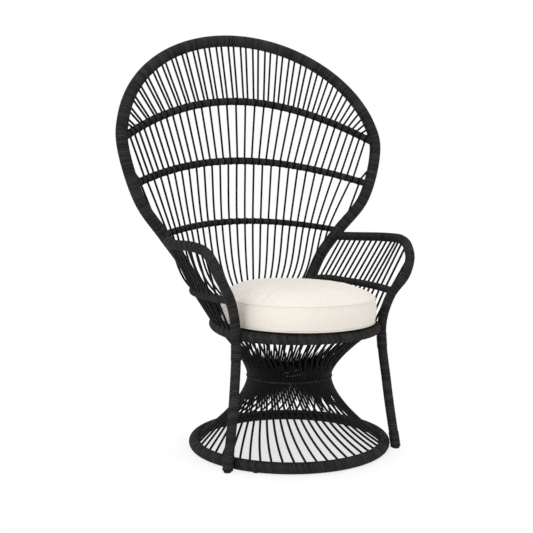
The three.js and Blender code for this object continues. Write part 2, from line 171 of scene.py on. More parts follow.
# Cushion
CUSHION_RADIUS = 0.231
CUSHION_CENTRE = -0.084
CUSHION_TAIL = 0.45
CUSHION_FLOOR = 0.4168
LOW_SEAM = 0.007
TOP_SEAM = 0.081
SHOULDER = 0.022
SHOULDER_POWER = 16
DOME = 0.017
SIDE_BULGE = 0.010
CUSHION_SIDES = 96
WELT_SIDES = 10
SLACK = 0.6
SOLE = ((0.0, 0.0005), (0.12, 0.0005), (0.20, 0.0006), (CUSHION_RADIUS - 0.012, 0.001))
SIDE_SHARES = (0.2, 0.4, 0.6, 0.8)
TOP_SHARES = (0.992, 0.978, 0.955, 0.92, 0.87, 0.8, 0.68, 0.5, 0.25)
WELT_OUT = 0.4
HELD_GRAINS = 0.7
HELD_SOLE = 0.004
SOLE_GAP = 0.0003
FILLING_STEPS = 20
FILLING = {
    "quality": 6,
    "mass": 0.25,
    "tension_stiffness": 18,
    "compression_stiffness": 18,
    "shear_stiffness": 8,
    "bending_stiffness": 0.6,
    "use_pressure": True,
}

# Zip
ZIP_TAPE = 0.0022
ZIP_OUT = 0.0008
ZIP_STEPS = 60
TEETH_OUT = 0.002
TEETH_PITCH = 0.003
TOOTH_LENGTH = 0.0022
TOOTH = 0.0008

# Fixed colours, and how far the plywood's grain is drawn out
ZIP_COLOUR = (0.62, 0.57, 0.50)
RUBBER_COLOUR = (0.012, 0.012, 0.012)
PLYWOOD_COLOUR = (0.026, 0.022, 0.020)
PLYWOOD_GRAIN = (1.5, 22.0, 40.0)

# Feet: radius and height of the stations on their profiles
FOOT_CAP = (
    (0, 0),
    (0.0098, 0),
    (0.0112, 0.0006),
    (0.0119, 0.0018),
    (0.012, 0.004),
    (0.011, 0.005),
    (0, 0.005),
)
FOOT_SIDES = 24
GLIDE = (
    (0, 0),
    (0.0082, 0),
    (0.0094, 0.0005),
    (0.01, 0.0014),
    (0.01, 0.0038),
    (0.0088, 0.0043),
    (0, 0.0043),
)

# Winding: shares of the cord's width and relief, turns of a lashing, points along the tubes
RAIL_CORD = 0.85
BINDING_RELIEF = 1.5
WAIST_RELIEF = 0.8
LASHING_TURNS = 3.0
FULL_TUBE = 0.014
LEAST_SIDES = 10
HOOP_STEPS = 420
RAIL_STEPS = 160
ARM_STEPS = 300
ARM_RAIL_STEPS = 120
BINDING_STEPS = 24
SPINDLE_STEPS = 24
WAIST_STEPS = 13
LASHING_SIDES = 6
COIL_STEPS = 12

# Stage
CAMERA_PLACE = (-1.3195, -2.6337, 0.8692)
CAMERA_TILT = math.radians(90 - 5.47)
CAMERA_TURN = math.radians(-25.172)
SENSOR = 36
KEY_PLACE = (-2.7, -1.9, 2.4)
KEY_AIM = (0.0, 0.0, 0.7)
KEY_SIZE = 1.5
TOP_PLACE = (0.3, -0.3, 3.6)
TOP_AIM = (0.0, 0.0, 0.3)
TOP_SIZE = 2.2
TOP_SHARE = 0.45
WHITE = (1, 1, 1, 1)
FLOOR_COLOUR = (0.93, 0.93, 0.935, 1)
FLOOR_RADIUS = 14.0
FLOOR_SIDES = 96
SHADE_INSIDE = 0.25
SHADE_OUTSIDE = 0.42
SHADE_WHITE = 0.65

SIDES = (-1, 1)
SIDE_NAMES = {-1: "left", 1: "right"}


def length_setting(name, description, default, low, high):
    """A size of the chair in metres."""
    return FloatProperty(
        name=name,
        description=description,
        default=default,
        min=low,
        max=high,
        subtype="DISTANCE",
        unit="LENGTH",
    )


def count_setting(name, description, default, low, high):
    """A whole number of faces or rows."""
    return IntProperty(name=name, description=description, default=default, min=low, max=high)


def number_setting(name, description, default, low, high, **kind):
    """A power, a strength or another plain number."""
    return FloatProperty(name=name, description=description, default=default, min=low, max=high, **kind)


def colour_setting(name, description, default):
    """The colour of a finish."""
    return FloatVectorProperty(
        name=name, description=description, default=default, min=0.0, max=1.0, size=3, subtype="COLOR"
    )


class CordSizes(PropertyGroup):
    """The cord that is wound round the tubes"""

    pitch: length_setting("Cord width", "Distance from one turn to the next", 0.0062, 0.002, 0.02)
    relief: length_setting("Cord relief", "Depth of the groove between two turns", 0.0011, 0.0, 0.004)
    cover: length_setting("Cord thickness", "What the cord adds to a tube's radius", 0.0012, 0.0, 0.004)
    lashing: length_setting("Lashing cord", "Radius of the cord that ties a rod", 0.0011, 0.0004, 0.003)
    sides: count_setting("Tube sides", "Faces round a wound tube", 20, 8, 48)
    steps: count_setting("Steps per turn", "Rows of faces along one turn of the cord", 6, 3, 12)
    colour: colour_setting("Cord colour", "Colour of the wound cord", (0.0250, 0.0244, 0.0236))


class RodSizes(PropertyGroup):
    """The thin rods of the back, the arms and the base"""

    sides: count_setting("Rod sides", "Faces round a rod", 10, 6, 24)
    colour: colour_setting("Rod colour", "Colour of the painted rods", (0.0050, 0.0049, 0.0048))


class CushionSizes(PropertyGroup):
    """The loose cushion"""

    voxel: length_setting("Cloth grain", "Size of the faces of the cloth", 0.006, 0.003, 0.02)
    pressure: number_setting("Filling", "Pressure of the filling on the cover", 4.0, 0.0, 20.0)
    swell: length_setting("Swell", "Furthest that a point of the cover may move", 0.006, 0.0, 0.03)
    welt: length_setting("Welt", "Radius of the piping in the seams", 0.0017, 0.001, 0.006)
    yarn: length_setting("Yarn", "Width of one yarn of the linen", 0.0011, 0.0003, 0.004)
    colour: colour_setting("Linen colour", "Colour of the cushion cover", (0.868, 0.815, 0.738))


class StageSizes(PropertyGroup):
    """The floor, the lights and the camera"""

    key: number_setting(
        "Key light", "Power of the lamp on the left", 30.0, 0.0, 500.0, subtype="POWER", unit="POWER"
    )
    fill: number_setting("Sky", "Strength of the even light from all round", 0.88, 0.0, 3.0)
    lens: number_setting("Lens", "Focal length of the camera in millimetres", 61.89, 10.0, 300.0)


class ChairSettings(PropertyGroup):
    """All that a user would change on the chair"""

    cord: PointerProperty(type=CordSizes)
    rods: PointerProperty(type=RodSizes)
    cushion: PointerProperty(type=CushionSizes)
    stage: PointerProperty(type=StageSizes)


# Lines of the frame


class Line:
    """A sampled line whose points are found by their share of its length."""

    def __init__(self, points):
        self.points = np.asarray(points, float)
        steps = np.linalg.norm(np.diff(self.points, axis=0), axis=1)
        self.reach = np.concatenate([[0.0], np.cumsum(steps)])
        self.length = self.reach[-1]

    def at(self, share):
        place = share * self.length
        return np.array([np.interp(place, self.reach, self.points[:, i]) for i in range(3)])

    def along(self, share, step=0.002):
        way = self.at(min(share + step, 1.0)) - self.at(max(share - step, 0.0))
        return way / np.linalg.norm(way)

    def part(self, start, end, count):
        return [self.at(share) for share in np.linspace(start, end, count)]


SMOOTH_STEPS = 40
HALVINGS = 40
RAIL_POINTS = 201


def smooth(knots):
    """A centripetal Catmull-Rom line through the knots."""
    knots = [np.asarray(k, float) for k in knots]
    ends = [2 * knots[0] - knots[1], *knots, 2 * knots[-1] - knots[-2]]
    points = []
    for a, b, c, d in zip(ends, ends[1:], ends[2:], ends[3:]):
        before, here, after = (np.linalg.norm(q - p) ** 0.5 for p, q in ((a, b), (b, c), (c, d)))
        leave = ((b - a) / before - (c - a) / (before + here) + (c - b) / here) * here
        arrive = ((c - b) / here - (d - b) / (here + after) + (d - c) / after) * here
        for t in np.linspace(0, 1, SMOOTH_STEPS, endpoint=False):
            bend = (2 * t**3 - 3 * t**2 + 1) * b + (t**3 - 2 * t**2 + t) * leave
            points.append(bend + (3 * t**2 - 2 * t**3) * c + (t**3 - t**2) * arrive)
    points.append(knots[-1])
    return Line(points)


def mirrored(point):
    return np.array([-point[0], point[1], point[2]])


def lerp(a, b, share):
    return a + (b - a) * share


def crowded(share, amount):
    """Evenly counted places, drawn a little towards the wings."""
    return share * (1 + amount * (1 - share))


def place_at_height(point_at, height):
    """The place on the first half of a rising line where it reaches a height."""
    low, high = 0.0, 0.5
    for _ in range(HALVINGS):
        middle = (low + high) / 2
        if point_at(middle)[2] < height:
            low = middle
        else:
            high = middle
    return low


def seat_point(angle):
    reach = SEAT_FRONT if math.sin(angle) < 0 else SEAT_BACK
    x = SEAT_HALF_WIDTH * math.cos(angle)
    return np.array([x, SEAT_CENTRE + reach * math.sin(angle), SEAT_HEIGHT])


def base_point(angle):
    return np.array([BASE_RADIUS * math.cos(angle), BASE_RADIUS * math.sin(angle), BASE_HEIGHT])


def ring_of(point_at, count=240):
    return [point_at(2 * math.pi * i / count) for i in range(count)]


def hoop_line():
    half = [seat_point(HOOP_FOOT_ANGLE)]
    half += [np.array([x, y, SEAT_HEIGHT + rise]) for x, y, rise in HOOP_LEG]
    for i in range(HOOP_ARC + 1):
        angle = math.pi / 2 * i / HOOP_ARC
        rise = math.sin(angle)
        depth = lerp(HOOP_SIDE_DEPTH, HOOP_TOP_DEPTH, rise**DEPTH_POWER)
        height = lerp(HOOP_WIDEST, HOOP_TOP, rise)
        half.append(np.array([HOOP_HALF_WIDTH * math.cos(angle), depth, height]))
    return smooth([mirrored(p) for p in half] + half[-2::-1])


HOOP = hoop_line()


def hoop_point(place, side):
    return HOOP.at(place if side < 0 else 1 - place)


def hoop_place(height):
    return place_at_height(lambda place: hoop_point(place, -1), height)


class Rail(Line):
    """A back rail that bows back and up between its two ends on the hoop."""

    def __init__(self, tube, end, middle, depth):
        self.tube = tube
        tip = hoop_point(hoop_place(end), 1)
        heart = np.array([0.0, depth, middle])
        points = []
        for side in np.linspace(-1, 1, RAIL_POINTS):
            p = lerp(heart, tip, side**2)
            p[0] = tip[0] * side
            points.append(p)
        super().__init__(points)

    def place(self, share, side):
        return 0.5 + side * share * (0.5 - RAIL_COVER / self.length)

    def at_share(self, share, side):
        return self.at(self.place(share, side))

    def behind(self, place):
        way = self.along(place)
        out = np.array([-way[1], way[0], 0.0])
        return out / np.linalg.norm(out)


UPPER = Rail(*UPPER_RAIL)
MIDDLE = Rail(*MIDDLE_RAIL)
LOWER = Rail(*LOWER_RAIL)


def arm_line():
    return smooth([hoop_point(hoop_place(ARM_END_HEIGHT), 1), *ARM_STATIONS])


ARM = arm_line()


def leg_share(height):
    return 1 - place_at_height(lambda place: ARM.at(1 - place), height)


ARM_RAIL = smooth(
    [hoop_point(hoop_place(ARM_RAIL_HEIGHT), 1), *ARM_RAIL_STATIONS, ARM.at(leg_share(ARM_RAIL_HEIGHT))]
)


def arm_rods():
    """The rods of the right arm: foot on the seat ring, place on the arm rail and head on the arm."""
    found = []
    for i in range(ARM_RODS):
        even = i / (ARM_RODS - 1)
        share = even * (1 - FAN_SPREAD) + FAN_SPREAD * even**SPREAD_POWER
        foot = seat_point(lerp(FAN_REAR_ANGLE, FAN_FRONT_ANGLE, share))
        head = ARM.at(lerp(FAN_REAR, FAN_FRONT, share))
        found.append((foot, lerp(RAIL_REAR, RAIL_FRONT, share), head))
    return found


def cage_rod(waist_angle, reach=1.0, count=31):
    """One rod from the seat ring in to the waist and out to the floor ring, or a part of it."""
    points = []
    for rise in np.linspace(reach, -reach, count):
        turn = UPPER_TWIST * rise * (2 - rise) if rise > 0 else LOWER_TWIST * rise
        angle = waist_angle - turn
        share = abs(rise) ** (UPPER_FLARE if rise > 0 else LOWER_FLARE)
        end = seat_point(angle) if rise > 0 else base_point(angle)
        waist = np.array([WAIST_RADIUS * math.cos(angle), WAIST_RADIUS * math.sin(angle), 0.0])
        p = lerp(waist, end, share)
        p[2] = lerp(WAIST_HEIGHT, end[2], abs(rise))
        points.append(p)
    return points


def spindle(i, side):
    """A long rod from the seat ring behind the lower rail to the middle rail, or one from the hoop."""
    head = MIDDLE.at_share(SPINDLE_SPREAD * (i + 0.5) / SPINDLES, side)
    if i >= SPINDLES_ON_SEAT:
        beyond = i - SPINDLES_ON_SEAT + OUTER_SPINDLE_LEAD
        share = beyond / (SPINDLES - SPINDLES_ON_SEAT + OUTER_SPINDLE_TRAIL)
        place = lerp(hoop_place(LOWER_RAIL[1]), hoop_place(MIDDLE_RAIL[1]), share)
        return [hoop_point(place, side), head]
    turn = (math.pi / 2 - HOOP_FOOT_ANGLE) * (i + 0.5) / (SPINDLES_ON_SEAT + 1)
    foot = seat_point(math.pi / 2 - side * turn)
    place = LOWER.place(crowded((i + 0.5) / SPINDLES_ON_SEAT, SPINDLE_CROWDING), side)
    crossing = LOWER.at(place) + SPINDLE_OFFSET * LOWER.behind(place)
    bow = lerp(foot, crossing, BOW_PLACE)
    bow[2] = lerp(foot[2], crossing[2], BOW_HEIGHT)
    return smooth([foot, bow, crossing, head]).part(0, 1, SPINDLE_STEPS)


# Node trees

FLOAT = "NodeSocketFloat"
WHOLE = "NodeSocketInt"
VECTOR = "NodeSocketVector"
GEOMETRY = "NodeSocketGeometry"
MATERIAL = "NodeSocketMaterial"


def place(tree, kind, feed=None, **settings):
    """Adds a node, sets its properties and feeds its inputs with values or other sockets."""
    made = tree.nodes.new(kind)
    for name, value in settings.items():
        setattr(made, name, value)
    for key, value in (feed or {}).items():
        socket = made.inputs[key]
        if isinstance(value, bpy.types.NodeSocket):
            tree.links.new(value, socket)
        else:
            socket.default_value = value
    return made


def output(tree, kind, feed=None, **settings):
    """The first output of a new node."""
    return place(tree, kind, feed, **settings).outputs[0]


def calc(tree, operation, *values):
    """The output of a Math node."""
    return output(tree, "ShaderNodeMath", dict(enumerate(values)), operation=operation)


def vector_calc(tree, operation, *values):
    """The vector output of a Vector Math node."""
    return output(tree, "ShaderNodeVectorMath", dict(enumerate(values)), operation=operation)


def ridges(tree, turns):
    """One rounded ridge for each turn: 0 in the grooves and 1 on the crests."""
    return calc(tree, "ABSOLUTE", calc(tree, "SINE", calc(tree, "MULTIPLY", turns, math.pi)))


def new_tree(name, kind, inputs, outputs):
    """A node group with named sockets; returns the tree, its input sockets and its output node."""
    tree = bpy.data.node_groups.new(name, kind)
    for label, socket_type, default in inputs:
        socket = tree.interface.new_socket(name=label, in_out="INPUT", socket_type=socket_type)
        if default is not None:
            socket.default_value = default
    for label, socket_type in outputs:
        tree.interface.new_socket(name=label, in_out="OUTPUT", socket_type=socket_type)
    given = tree.nodes.new("NodeGroupInput").outputs
    result = tree.nodes.new("NodeGroupOutput")
    return tree, given, result


def geometry_tree(name, start, sizes):
    """An empty geometry tree whose inputs are a start, its sizes and a material."""
    inputs = [(start, GEOMETRY, None), *sizes, ("Material", MATERIAL, None)]
    return new_tree(name, "GeometryNodeTree", inputs, [("Geometry", GEOMETRY)])


def finish_tree(tree, geometry, material, result):
    """Ends a geometry tree: smooth faces, real meshes and one material."""
    soft = output(tree, "GeometryNodeSetShadeSmooth", {"Geometry": geometry})
    real = output(tree, "GeometryNodeRealizeInstances", {"Geometry": soft})
    painted = output(tree, "GeometryNodeSetMaterial", {"Geometry": real, "Material": material})
    tree.links.new(painted, result.inputs[0])
    return tree


def circle(tree, sides, radius):
    """The section of a tube."""
    return output(tree, "GeometryNodeCurvePrimitiveCircle", {"Resolution": sides, "Radius": radius})


def swept(tree, curve, section, **more):
    """A closed tube along a curve."""
    feed = {"Curve": curve, "Profile Curve": section, "Fill Caps": True, **more}
    return output(tree, "GeometryNodeCurveToMesh", feed)


def wound_tube_tree():
    """A tube along a wire, wound with one cord whose turns lie side by side."""
    sizes = [("Radius", FLOAT, 0.015), ("Cord width", FLOAT, 0.0046), ("Relief", FLOAT, 0.0008)]
    sizes += [("Sides", WHOLE, 20), ("Steps per turn", WHOLE, 6)]
    tree, given, result = geometry_tree("Wound tube", "Wire", sizes)
    path = output(tree, "GeometryNodeMeshToCurve", {"Mesh": given["Wire"]})
    step = calc(tree, "DIVIDE", given["Cord width"], given["Steps per turn"])
    path = output(tree, "GeometryNodeResampleCurve", {"Curve": path, "Length": step}, mode="LENGTH")
    heart = tree.nodes.new("GeometryNodeCaptureAttribute")
    heart.capture_items.new("FLOAT", "Reach")
    heart.capture_items.new("VECTOR", "Heart")
    tree.links.new(path, heart.inputs[0])
    tree.links.new(tree.nodes.new("GeometryNodeSplineParameter").outputs["Length"], heart.inputs[1])
    tree.links.new(tree.nodes.new("GeometryNodeInputPosition").outputs[0], heart.inputs[2])
    ring = circle(tree, given["Sides"], given["Radius"])
    rim = tree.nodes.new("GeometryNodeCaptureAttribute")
    rim.capture_items.new("FLOAT", "Round")
    tree.links.new(ring, rim.inputs[0])
    tree.links.new(tree.nodes.new("GeometryNodeSplineParameter").outputs["Factor"], rim.inputs[1])
    tube = swept(tree, heart.outputs[0], rim.outputs[0])
    turn = calc(tree, "ADD", calc(tree, "DIVIDE", heart.outputs[1], given["Cord width"]), rim.outputs[1])
    drop = calc(tree, "MULTIPLY", calc(tree, "SUBTRACT", ridges(tree, turn), 1.0), given["Relief"])
    spot = tree.nodes.new("GeometryNodeInputPosition").outputs[0]
    out = vector_calc(tree, "NORMALIZE", vector_calc(tree, "SUBTRACT", spot, heart.outputs[2]))
    shift = output(tree, "ShaderNodeVectorMath", {0: out, "Scale": drop}, operation="SCALE")
    ribbed = output(tree, "GeometryNodeSetPosition", {"Geometry": tube, "Offset": shift})
    marked = output(
        tree,
        "GeometryNodeStoreNamedAttribute",
        {"Geometry": ribbed, "Name": "turn", "Value": turn},
        data_type="FLOAT",
        domain="POINT",
    )
    return finish_tree(tree, marked, given["Material"], result)


def rods_tree():
    """Round rods along wires, which may run thin at both ends."""
    sizes = [("Radius", FLOAT, 0.003), ("Taper", FLOAT, 0.0), ("Sides", WHOLE, 10)]
    tree, given, result = geometry_tree("Rods", "Wire", sizes)
    path = output(tree, "GeometryNodeMeshToCurve", {"Mesh": given["Wire"]})
    ring = circle(tree, given["Sides"], given["Radius"])
    share = tree.nodes.new("GeometryNodeSplineParameter").outputs["Factor"]
    half_way = calc(tree, "SUBTRACT", share, 0.5)
    near_end = calc(tree, "POWER", calc(tree, "MULTIPLY", calc(tree, "ABSOLUTE", half_way), 2.0), 4.0)
    thinned = calc(tree, "SUBTRACT", 1.0, calc(tree, "MULTIPLY", near_end, given["Taper"]))
    made = swept(tree, path, ring, Scale=thinned)
    return finish_tree(tree, made, given["Material"], result)


def lashings_tree():
    """A few turns of cord round a rail at each point, turned to the way stored there."""
    sizes = [("Rail", FLOAT, 0.009), ("Cord", FLOAT, 0.0011), ("Turns", FLOAT, 3.0)]
    tree, given, result = geometry_tree("Lashings", "Points", sizes)
    height = calc(tree, "MULTIPLY", calc(tree, "MULTIPLY", given["Cord"], 2.0), given["Turns"])
    coil = output(
        tree,
        "GeometryNodeCurveSpiral",
        {
            "Resolution": COIL_STEPS,
            "Rotations": given["Turns"],
            "Start Radius": given["Rail"],
            "End Radius": given["Rail"],
            "Height": height,
        },
    )
    drop = output(tree, "ShaderNodeCombineXYZ", {2: calc(tree, "MULTIPLY", height, -0.5)})
    coil = output(tree, "GeometryNodeTransform", {"Geometry": coil, "Translation": drop})
    cord = swept(tree, coil, circle(tree, LASHING_SIDES, given["Cord"]))
    way = output(tree, "GeometryNodeInputNamedAttribute", {"Name": "way"}, data_type="FLOAT_VECTOR")
    turned = output(tree, "FunctionNodeAlignRotationToVector", {"Vector": way}, axis="Z")
    tied = output(
        tree,
        "GeometryNodeInstanceOnPoints",
        {"Points": given["Points"], "Instance": cord, "Rotation": turned},
    )
    return finish_tree(tree, tied, given["Material"], result)


def stitches_tree():
    """Short stitches lying along a wire."""
    sizes = [("Pitch", FLOAT, 0.005), ("Length", FLOAT, 0.0034), ("Thread", FLOAT, 0.0004)]
    tree, given, result = geometry_tree("Stitches", "Wire", sizes)
    path = output(tree, "GeometryNodeMeshToCurve", {"Mesh": given["Wire"]})
    spots = place(
        tree, "GeometryNodeCurveToPoints", {"Curve": path, "Length": given["Pitch"]}, mode="LENGTH"
    )
    thread = output(tree, "GeometryNodeMeshIcoSphere", {"Radius": given["Thread"], "Subdivisions": 1})
    reach = calc(tree, "DIVIDE", calc(tree, "MULTIPLY", given["Length"], 0.5), given["Thread"])
    longer = output(tree, "ShaderNodeCombineXYZ", {0: 1.0, 1: 1.0, 2: reach})
    way = spots.outputs["Tangent"]
    turned = output(tree, "FunctionNodeAlignRotationToVector", {"Vector": way}, axis="Z")
    sewn = output(
        tree,
        "GeometryNodeInstanceOnPoints",
        {"Points": spots.outputs["Points"], "Instance": thread, "Rotation": turned, "Scale": longer},
    )
    return finish_tree(tree, sewn, given["Material"], result)


# Shader groups


def patchy_group():
    """Soft patches and fine specks that vary a finish: puts out a tone near 1 and a rough mask."""
    tree, given, result = new_tree(
        "Patchy finish",
        "ShaderNodeTree",
        [("Vector", VECTOR, None), ("Patch scale", FLOAT, 9.0), ("Depth", FLOAT, 0.2)],
        [("Tone", FLOAT), ("Mask", FLOAT)],
    )
    patches = output(
        tree,
        "ShaderNodeTexNoise",
        {"Vector": given["Vector"], "Scale": given["Patch scale"], "Detail": 4.0, "Roughness": 0.6},
    )
    fine = {"Vector": given["Vector"], "Scale": 420.0, "Detail": 2.0}
    specks = output(tree, "ShaderNodeTexNoise", fine)
    mixed = calc(tree, "ADD", calc(tree, "MULTIPLY", patches, 0.65), calc(tree, "MULTIPLY", specks, 0.35))
    depth = calc(tree, "MULTIPLY", given["Depth"], 4.0)
    swing = calc(tree, "MULTIPLY", calc(tree, "SUBTRACT", mixed, 0.5), depth)
    tree.links.new(calc(tree, "ADD", swing, 1.0), result.inputs["Tone"])
    tree.links.new(mixed, result.inputs["Mask"])
    return tree


def weave_group():
    """A plain weave of yarns over and under each other, with slubs: puts out height and shade; the shade
    is painted shade, lighter on the raised yarns and darker in the hollows, toned by the slubs.
    """
    tree, given, result = new_tree(
        "Plain weave",
        "ShaderNodeTree",
        [("Vector", VECTOR, None), ("Yarn", FLOAT, 0.001), ("Slub", FLOAT, 0.4)],
        [("Height", FLOAT), ("Shade", FLOAT)],
    )
    parts = place(tree, "ShaderNodeSeparateXYZ", {0: given["Vector"]}).outputs
    slubs = output(tree, "ShaderNodeTexNoise", {"Vector": given["Vector"], "Scale": 70.0, "Detail": 3.0})
    drift = calc(tree, "MULTIPLY", calc(tree, "SUBTRACT", slubs, 0.5), given["Slub"])
    warp = calc(tree, "ADD", calc(tree, "DIVIDE", parts[0], given["Yarn"]), drift)
    weft = calc(tree, "ADD", calc(tree, "DIVIDE", parts[1], given["Yarn"]), drift)
    steps = calc(tree, "ADD", calc(tree, "FLOOR", warp), calc(tree, "FLOOR", weft))
    over = calc(tree, "PINGPONG", steps, 1.0)
    lifted = calc(tree, "MULTIPLY", over, ridges(tree, warp))
    sunk = calc(tree, "MULTIPLY", calc(tree, "SUBTRACT", 1.0, over), ridges(tree, weft))
    height = calc(tree, "ADD", lifted, sunk)
    tree.links.new(height, result.inputs["Height"])
    # Painted shade: raised yarns are lighter and the hollows between them darker; the slubs add a tone of
    # their own.
    shade = calc(tree, "ADD", calc(tree, "MULTIPLY", height, 0.10), calc(tree, "MULTIPLY", slubs, 0.10))
    tree.links.new(calc(tree, "ADD", shade, 0.87), result.inputs["Shade"])
    return tree


TREE_MAKERS = {
    "Wound tube": wound_tube_tree,
    "Rods": rods_tree,
    "Lashings": lashings_tree,
    "Stitches": stitches_tree,
    "Patchy finish": patchy_group,
    "Plain weave": weave_group,
}


def tree_named(name):
    """A node tree of the chair, made once."""
    return bpy.data.node_groups.get(name) or TREE_MAKERS[name]()


# Finishes


def use_group(tree, name, feed):
    """Places a shader group in a material and returns its outputs."""
    return place(tree, "ShaderNodeGroup", feed, node_tree=tree_named(name)).outputs


def new_material(name):
    """An empty material with its shader; returns the material, its tree and the shader's inputs."""
    material = bpy.data.materials.new(name)
    material.use_nodes = True
    tree = material.node_tree
    tree.nodes.clear()
    shader = tree.nodes.new("ShaderNodeBsdfPrincipled")
    tree.links.new(shader.outputs[0], tree.nodes.new("ShaderNodeOutputMaterial").inputs[0])
    return material, tree, shader.inputs


def tint(tree, colour, tone):
    """A colour that is made lighter or darker by a tone."""
    return output(tree, "ShaderNodeVectorMath", {0: tuple(colour), "Scale": tone}, operation="SCALE")


def spread(tree, value, low, high):
    """A value from 0 to 1 spread over another range."""
    return output(tree, "ShaderNodeMapRange", {"Value": value, "To Min": low, "To Max": high})


def relief(tree, height, distance, strength):
    """The normal of a bump."""
    return output(tree, "ShaderNodeBump", {"Height": height, "Distance": distance, "Strength": strength})


def paint(tree, into, toned, rough, raised):
    """Feeds a shader from a colour and its tone, a mask and its roughness, a height and its relief."""
    tree.links.new(tint(tree, *toned), into["Base Color"])
    tree.links.new(spread(tree, *rough), into["Roughness"])
    tree.links.new(relief(tree, *raised), into["Normal"])


def object_place(tree):
    return tree.nodes.new("ShaderNodeTexCoord").outputs["Object"]


def wound_cord(colour):
    """Dark cord: every turn has its own tone, painted shade darkens the grooves between turns and
    lightens their crests, and fine fibres run along it.
    """
    material, tree, into = new_material("wound_cord")
    spot = object_place(tree)
    turn = place(tree, "ShaderNodeAttribute", attribute_name="turn").outputs["Fac"]
    finish = use_group(tree, "Patchy finish", {"Vector": spot, "Patch scale": 7.0, "Depth": 0.35})
    whole = calc(tree, "FLOOR", turn)
    each = output(tree, "ShaderNodeTexWhiteNoise", {"W": whole}, noise_dimensions="1D")
    # Painted shade: the colour falls to a tenth in the grooves between turns and rises to 1.3 times on
    # the crests. Pieces without the turn attribute, such as the lashings, get the groove's painted shade
    # all over.
    painted_groove_shade = spread(tree, ridges(tree, turn), 0.1, 1.3)
    shade = calc(tree, "MULTIPLY", spread(tree, each, 0.6, 1.4), painted_groove_shade)
    tone = calc(tree, "MULTIPLY", shade, finish["Tone"])
    fibres = output(tree, "ShaderNodeTexNoise", {"Vector": spot, "Scale": 900.0, "Detail": 3.0})
    paint(tree, into, (colour, tone), (finish["Mask"], 0.30, 0.52), (fibres, 0.0002, 0.5))
    into["Specular IOR Level"].default_value = 0.0
    into["Coat Weight"].default_value = 0.13
    into["Coat Roughness"].default_value = 0.35
    return material


def satin_paint(colour):
    """Satin black paint with a faint unevenness."""
    material, tree, into = new_material("satin_paint")
    spot = object_place(tree)
    finish = use_group(tree, "Patchy finish", {"Vector": spot, "Patch scale": 30.0, "Depth": 0.3})
    mask = finish["Mask"]
    paint(tree, into, (colour, finish["Tone"]), (mask, 0.34, 0.56), (mask, 0.00015, 0.4))
    into["Specular IOR Level"].default_value = 0.1
    return material


def cushion_linen(colour, yarn, centre):
    """Cream linen: a flat weave on the panels and one that follows the boxing round the side."""
    material, tree, into = new_material("cushion_linen")
    spot = output(
        tree, "ShaderNodeMapping", {"Vector": object_place(tree), "Location": tuple(-c for c in centre)}
    )
    parts = place(tree, "ShaderNodeSeparateXYZ", {0: spot}).outputs
    angle = calc(tree, "ARCTAN2", parts[1], parts[0])
    girth = calc(tree, "MULTIPLY", angle, CUSHION_RADIUS)
    side = output(tree, "ShaderNodeCombineXYZ", {0: girth, 1: parts[2], 2: 0.0})
    facing = tree.nodes.new("ShaderNodeNewGeometry").outputs["Normal"]
    up = calc(tree, "ABSOLUTE", place(tree, "ShaderNodeSeparateXYZ", {0: facing}).outputs[2])
    flat = output(tree, "ShaderNodeMapRange", {"Value": up, "From Min": 0.42, "From Max": 0.5})
    lay = place(
        tree, "ShaderNodeMix", {"Factor": flat, 4: side, 5: spot}, data_type="VECTOR"
    ).outputs[1]
    weave = use_group(tree, "Plain weave", {"Vector": lay, "Yarn": yarn, "Slub": 0.5})
    finish = use_group(tree, "Patchy finish", {"Vector": spot, "Patch scale": 6.0, "Depth": 0.05})
    # The weave's Shade carries its painted shade, lighter on raised yarns and darker between them.
    tone = calc(tree, "MULTIPLY", weave["Shade"], finish["Tone"])
    paint(tree, into, (colour, tone), (finish["Mask"], 0.82, 0.96), (weave["Height"], 0.0003, 0.55))
    into["Sheen Weight"].default_value = 0.15
    into["Sheen Roughness"].default_value = 0.5
    into["Specular IOR Level"].default_value = 0.25
    return material


def woven_tape(colour):
    """Woven tape of the zip."""
    material, tree, into = new_material("woven_tape")
    spot = object_place(tree)
    weave = use_group(tree, "Plain weave", {"Vector": spot, "Yarn": 0.0006, "Slub": 0.2})
    height = weave["Height"]
    # The weave's Shade paints the tape lighter on raised yarns and darker between them.
    paint(tree, into, (colour, weave["Shade"]), (height, 0.55, 0.8), (height, 0.0002, 0.5))
    return material


def black_rubber():
    """Dull rubber of the feet with dust."""
    material, tree, into = new_material("black_rubber")
    spot = object_place(tree)
    finish = use_group(tree, "Patchy finish", {"Vector": spot, "Patch scale": 60.0, "Depth": 0.5})
    mask = finish["Mask"]
    paint(tree, into, (RUBBER_COLOUR, finish["Tone"]), (mask, 0.6, 0.85), (mask, 0.0002, 0.5))
    return material


def stained_plywood():
    """Plywood stained black, with the grain running from side to side."""
    material, tree, into = new_material("stained_plywood")
    spot = object_place(tree)
    long = output(tree, "ShaderNodeMapping", {"Vector": spot, "Scale": PLYWOOD_GRAIN})
    grain = output(
        tree, "ShaderNodeTexNoise", {"Vector": long, "Scale": 9.0, "Detail": 6.0, "Distortion": 0.8}
    )
    finish = use_group(tree, "Patchy finish", {"Vector": spot, "Patch scale": 5.0, "Depth": 0.2})
    tone = calc(tree, "MULTIPLY", spread(tree, grain, 0.55, 1.5), finish["Tone"])
    paint(tree, into, (PLYWOOD_COLOUR, tone), (grain, 0.5, 0.75), (grain, 0.0003, 0.5))
    return material


# Meshes


def link(obj):
    bpy.context.scene.collection.objects.link(obj)
    return obj


def wire(name, lines, closed=False):
    """A mesh with one chain of edges for each line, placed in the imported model's frame."""
    points, edges = [], []
    for line in lines:
        first = len(points)
        points += [tuple(np.asarray(p) + AXIS) for p in line]
        last = len(points) - 1
        edges += [(i, i + 1) for i in range(first, last)]
        if closed:
            edges.append((last, first))
    mesh = bpy.data.meshes.new(name)
    mesh.from_pydata(points, edges, [])
    return mesh


